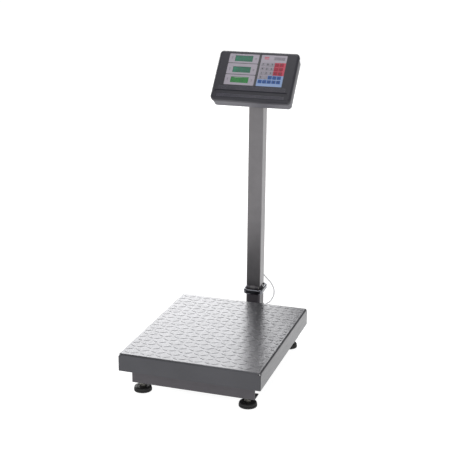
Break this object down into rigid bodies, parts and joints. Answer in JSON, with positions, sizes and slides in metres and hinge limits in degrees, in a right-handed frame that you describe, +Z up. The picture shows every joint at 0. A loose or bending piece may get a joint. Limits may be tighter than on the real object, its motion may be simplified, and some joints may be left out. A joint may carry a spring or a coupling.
{
  "type": "platform shipping scale",
  "caption": "Platform scale: square tray with folded skirts on levelling feet, square column folding over it, tilting display head with windows and keypad",
  "frame": {"origin": "centre of the footprint on the floor, under the feet", "axes": "+X to the right of a user facing the display, +Y from the user towards the column, +Z up"},
  "size_m": [0.4, 0.6922, 0.8655],
  "materials": {
    "tray_finish": "silver baked enamel over pressed tread plate, semi-gloss",
    "frame_paint": "dark grey baked enamel",
    "column_paint": "mid-grey baked enamel, semi-gloss",
    "hinge_steel": "machined steel",
    "zinc_steel": "bright zinc plate",
    "cell_aluminium": "milled",
    "chrome": "polished",
    "rubber": "matt moulded",
    "head_plastic": "fine moulded texture",
    "black_plastic": "moulded",
    "panel_film": "printed film",
    "display_face": "liquid crystal behind a clear window",
    "key_grey": "printed film",
    "key_red": "printed film",
    "key_blue": "printed film",
    "board": "lacquered laminate",
    "battery_case": "moulded",
    "cable_pvc": "extruded sheath"
  },
  "bodies": {
    "root": {"base_front_channel": "frame_paint", "base_rear_channel": "frame_paint", "base_inner_rails": "frame_paint", "foot_nuts": "zinc_steel", "load_cell": "cell_aluminium", "load_cell_spacers": "zinc_steel", "load_cell_bolts": "zinc_steel", "top_frame_rails": "frame_paint", "overload_stops": "zinc_steel", "tray_pads": "rubber", "outrigger_arm": "frame_paint", "arm_end_cap": "black_plastic", "stub_post": "column_paint", "hinge_lower_leaf": "column_paint", "hinge_pin": "zinc_steel", "signal_cable": "cable_pvc"},
    "tray": {"tray": "tray_finish"},
    "column": {"column_tube": "column_paint", "column_hinge_block": "hinge_steel", "column_grommet": "rubber"},
    "lock_ring": {"lock_ring": "chrome"},
    "head": {"front_bezel": "head_plastic", "rear_case": "head_plastic", "head_bracket": "column_paint", "head_screws": "zinc_steel", "panel_overlay": "panel_film", "display_modules": "display_face", "main_board": "board", "battery": "battery_case"},
    "tilt_knob": {"tilt_knob": "black_plastic"},
    "power_rocker": {"power_rocker": "black_plastic"},
    "foot_front_left": {"foot_front_left": "rubber"},
    "foot_front_right": {"foot_front_right": "rubber"},
    "foot_rear_left": {"foot_rear_left": "rubber"},
    "foot_rear_right": {"foot_rear_right": "rubber"},
    "key_1_1": {"key_1_1": "key_grey"},
    "key_1_2": {"key_1_2": "key_grey"},
    "key_1_3": {"key_1_3": "key_grey"},
    "key_1_4": {"key_1_4": "key_red"},
    "key_1_5": {"key_1_5": "key_red"},
    "key_2_1": {"key_2_1": "key_grey"},
    "key_2_2": {"key_2_2": "key_grey"},
    "key_2_3": {"key_2_3": "key_grey"},
    "key_2_4": {"key_2_4": "key_red"},
    "key_2_5": {"key_2_5": "key_red"},
    "key_3_1": {"key_3_1": "key_grey"},
    "key_3_2": {"key_3_2": "key_grey"},
    "key_3_3": {"key_3_3": "key_grey"},
    "key_3_4": {"key_3_4": "key_red"},
    "key_3_5": {"key_3_5": "key_red"},
    "key_4_1": {"key_4_1": "key_grey"},
    "key_4_2": {"key_4_2": "key_grey"},
    "key_4_3": {"key_4_3": "key_blue"},
    "key_4_4": {"key_4_4": "key_blue"},
    "key_4_5": {"key_4_5": "key_blue"},
    "key_5_1": {"key_5_1": "key_blue"},
    "key_5_2": {"key_5_2": "key_blue"},
    "key_5_3": {"key_5_3": "key_blue"},
    "key_5_4": {"key_5_4": "key_blue"},
    "key_5_5": {"key_5_5": "key_blue"}
  },
  "joints": [
    {"name": "column_fold", "type": "hinge", "parent": "root", "child": "column", "pos_m": [0, 0.262, 0.1345], "axis": [1, 0, 0], "range_deg": [0, 84]},
    {"name": "lock_ring_slide", "type": "slide", "parent": "root", "child": "lock_ring", "axis": [0, 0, -1], "range_m": [0, 0.038]},
    {"name": "head_tilt", "type": "hinge", "parent": "column", "child": "head", "pos_m": [0, 0.2885, 0.734], "axis": [1, 0, 0], "range_deg": [-25, 0]},
    {"name": "tray_lift", "type": "slide", "parent": "root", "child": "tray", "axis": [0, 0, -1], "range_m": [-0.08, 0]},
    {"name": "foot_front_left_level", "type": "slide", "parent": "root", "child": "foot_front_left", "axis": [0, 0, -1], "range_m": [0, 0.012]},
    {"name": "foot_front_right_level", "type": "slide", "parent": "root", "child": "foot_front_right", "axis": [0, 0, -1], "range_m": [0, 0.012]},
    {"name": "foot_rear_left_level", "type": "slide", "parent": "root", "child": "foot_rear_left", "axis": [0, 0, -1], "range_m": [0, 0.012]},
    {"name": "foot_rear_right_level", "type": "slide", "parent": "root", "child": "foot_rear_right", "axis": [0, 0, -1], "range_m": [0, 0.012]},
    {"name": "tilt_knob_turn", "type": "hinge", "parent": "head", "child": "tilt_knob", "pos_m": [0.027, 0.2885, 0.734], "axis": [1, 0, 0], "range_deg": [0, 270]},
    {"name": "power_switch", "type": "hinge", "parent": "head", "child": "power_rocker", "pos_m": [-0.078, 0.29352, 0.79715], "axis": [1, 0, 0], "range_deg": [0, 16]},
    {"name": "key_1_1_press", "type": "slide", "parent": "head", "child": "key_1_1", "axis": [0, 0.7782, -0.628], "range_m": [0, 0.0005], "stiffness_N_per_m": 400, "springref_m": -0.001},
    {"name": "key_1_2_press", "type": "slide", "parent": "head", "child": "key_1_2", "axis": [0, 0.7782, -0.628], "range_m": [0, 0.0005], "stiffness_N_per_m": 400, "springref_m": -0.001},
    {"name": "key_1_3_press", "type": "slide", "parent": "head", "child": "key_1_3", "axis": [0, 0.7782, -0.628], "range_m": [0, 0.0005], "stiffness_N_per_m": 400, "springref_m": -0.001},
    {"name": "key_1_4_press", "type": "slide", "parent": "head", "child": "key_1_4", "axis": [0, 0.7782, -0.628], "range_m": [0, 0.0005], "stiffness_N_per_m": 400, "springref_m": -0.001},
    {"name": "key_1_5_press", "type": "slide", "parent": "head", "child": "key_1_5", "axis": [0, 0.7782, -0.628], "range_m": [0, 0.0005], "stiffness_N_per_m": 400, "springref_m": -0.001},
    {"name": "key_2_1_press", "type": "slide", "parent": "head", "child": "key_2_1", "axis": [0, 0.7782, -0.628], "range_m": [0, 0.0005], "stiffness_N_per_m": 400, "springref_m": -0.001},
    {"name": "key_2_2_press", "type": "slide", "parent": "head", "child": "key_2_2", "axis": [0, 0.7782, -0.628], "range_m": [0, 0.0005], "stiffness_N_per_m": 400, "springref_m": -0.001},
    {"name": "key_2_3_press", "type": "slide", "parent": "head", "child": "key_2_3", "axis": [0, 0.7782, -0.628], "range_m": [0, 0.0005], "stiffness_N_per_m": 400, "springref_m": -0.001},
    {"name": "key_2_4_press", "type": "slide", "parent": "head", "child": "key_2_4", "axis": [0, 0.7782, -0.628], "range_m": [0, 0.0005], "stiffness_N_per_m": 400, "springref_m": -0.001},
    {"name": "key_2_5_press", "type": "slide", "parent": "head", "child": "key_2_5", "axis": [0, 0.7782, -0.628], "range_m": [0, 0.0005], "stiffness_N_per_m": 400, "springref_m": -0.001},
    {"name": "key_3_1_press", "type": "slide", "parent": "head", "child": "key_3_1", "axis": [0, 0.7782, -0.628], "range_m": [0, 0.0005], "stiffness_N_per_m": 400, "springref_m": -0.001},
    {"name": "key_3_2_press", "type": "slide", "parent": "head", "child": "key_3_2", "axis": [0, 0.7782, -0.628], "range_m": [0, 0.0005], "stiffness_N_per_m": 400, "springref_m": -0.001},
    {"name": "key_3_3_press", "type": "slide", "parent": "head", "child": "key_3_3", "axis": [0, 0.7782, -0.628], "range_m": [0, 0.0005], "stiffness_N_per_m": 400, "springref_m": -0.001},
    {"name": "key_3_4_press", "type": "slide", "parent": "head", "child": "key_3_4", "axis": [0, 0.7782, -0.628], "range_m": [0, 0.0005], "stiffness_N_per_m": 400, "springref_m": -0.001},
    {"name": "key_3_5_press", "type": "slide", "parent": "head", "child": "key_3_5", "axis": [0, 0.7782, -0.628], "range_m": [0, 0.0005], "stiffness_N_per_m": 400, "springref_m": -0.001},
    {"name": "key_4_1_press", "type": "slide", "parent": "head", "child": "key_4_1", "axis": [0, 0.7782, -0.628], "range_m": [0, 0.0005], "stiffness_N_per_m": 400, "springref_m": -0.001},
    {"name": "key_4_2_press", "type": "slide", "parent": "head", "child": "key_4_2", "axis": [0, 0.7782, -0.628], "range_m": [0, 0.0005], "stiffness_N_per_m": 400, "springref_m": -0.001},
    {"name": "key_4_3_press", "type": "slide", "parent": "head", "child": "key_4_3", "axis": [0, 0.7782, -0.628], "range_m": [0, 0.0005], "stiffness_N_per_m": 400, "springref_m": -0.001},
    {"name": "key_4_4_press", "type": "slide", "parent": "head", "child": "key_4_4", "axis": [0, 0.7782, -0.628], "range_m": [0, 0.0005], "stiffness_N_per_m": 400, "springref_m": -0.001},
    {"name": "key_4_5_press", "type": "slide", "parent": "head", "child": "key_4_5", "axis": [0, 0.7782, -0.628], "range_m": [0, 0.0005], "stiffness_N_per_m": 400, "springref_m": -0.001},
    {"name": "key_5_1_press", "type": "slide", "parent": "head", "child": "key_5_1", "axis": [0, 0.7782, -0.628], "range_m": [0, 0.0005], "stiffness_N_per_m": 400, "springref_m": -0.001},
    {"name": "key_5_2_press", "type": "slide", "parent": "head", "child": "key_5_2", "axis": [0, 0.7782, -0.628], "range_m": [0, 0.0005], "stiffness_N_per_m": 400, "springref_m": -0.001},
    {"name": "key_5_3_press", "type": "slide", "parent": "head", "child": "key_5_3", "axis": [0, 0.7782, -0.628], "range_m": [0, 0.0005], "stiffness_N_per_m": 400, "springref_m": -0.001},
    {"name": "key_5_4_press", "type": "slide", "parent": "head", "child": "key_5_4", "axis": [0, 0.7782, -0.628], "range_m": [0, 0.0005], "stiffness_N_per_m": 400, "springref_m": -0.001},
    {"name": "key_5_5_press", "type": "slide", "parent": "head", "child": "key_5_5", "axis": [0, 0.7782, -0.628], "range_m": [0, 0.0005], "stiffness_N_per_m": 400, "springref_m": -0.001}
  ],
  "couplings": [
    {"joint": "lock_ring_slide", "follows": "column_fold", "m_per_rad": 0.025237}
  ]
}
